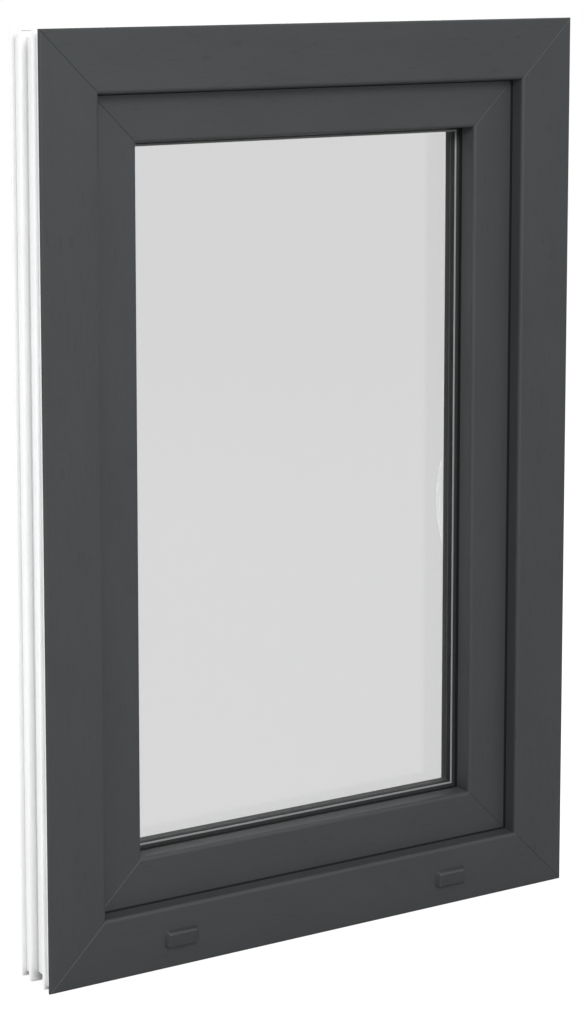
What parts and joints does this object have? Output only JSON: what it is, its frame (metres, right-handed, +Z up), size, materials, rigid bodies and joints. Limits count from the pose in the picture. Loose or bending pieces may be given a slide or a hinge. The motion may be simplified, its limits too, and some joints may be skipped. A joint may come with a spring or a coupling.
{
  "type": "basement window",
  "caption": "Upright plastic basement window with one glazed sash set back in a mitred frame, dark outside and white inside, with a bow handle and hinges on the room side.",
  "frame": {"origin": "middle of the sill member's length, on the flat under its inner rib, 41 mm behind the outside face", "axes": "+Z up, -Y towards the outside, +Y into the room, +X to the right as seen from outside"},
  "size_m": [0.6, 0.1351, 0.9],
  "materials": {
    "white_profile": "smooth satin",
    "outside_foil": "fine-grained laminated foil",
    "seal": "matt",
    "glass": "polished float",
    "spacer": "dark satin",
    "edge_seal": "matt",
    "drain_cap": "moulded satin",
    "handle": "satin lacquer",
    "hinge": "satin"
  },
  "bodies": {
    "root": {"bead_head": "white_profile", "bead_jamb_left": "white_profile", "bead_jamb_right": "white_profile", "bead_sill": "white_profile", "drain_cap_left": "drain_cap", "drain_cap_right": "drain_cap", "frame_head": "white_profile", "frame_head_foil": "outside_foil", "frame_jamb_left": "white_profile", "frame_jamb_left_foil": "outside_foil", "frame_jamb_right": "white_profile", "frame_jamb_right_foil": "outside_foil", "frame_seal": "seal", "frame_sill": "white_profile", "frame_sill_foil": "outside_foil", "glass_edge_seal": "edge_seal", "glass_inner": "glass", "glass_outer": "glass", "glass_spacer": "spacer", "glazing_seal_inner": "seal", "glazing_seal_outer": "seal", "handle_lever": "handle", "handle_rose": "handle", "hinge_lower_frame_leaf": "hinge", "hinge_lower_sash_leaf": "hinge", "hinge_upper_frame_leaf": "hinge", "hinge_upper_sash_leaf": "hinge", "sash_head": "white_profile", "sash_head_foil": "outside_foil", "sash_jamb_left": "white_profile", "sash_jamb_left_foil": "outside_foil", "sash_jamb_right": "white_profile", "sash_jamb_right_foil": "outside_foil", "sash_seal": "seal", "sash_sill": "white_profile", "sash_sill_foil": "outside_foil"}
  },
  "joints": []
}
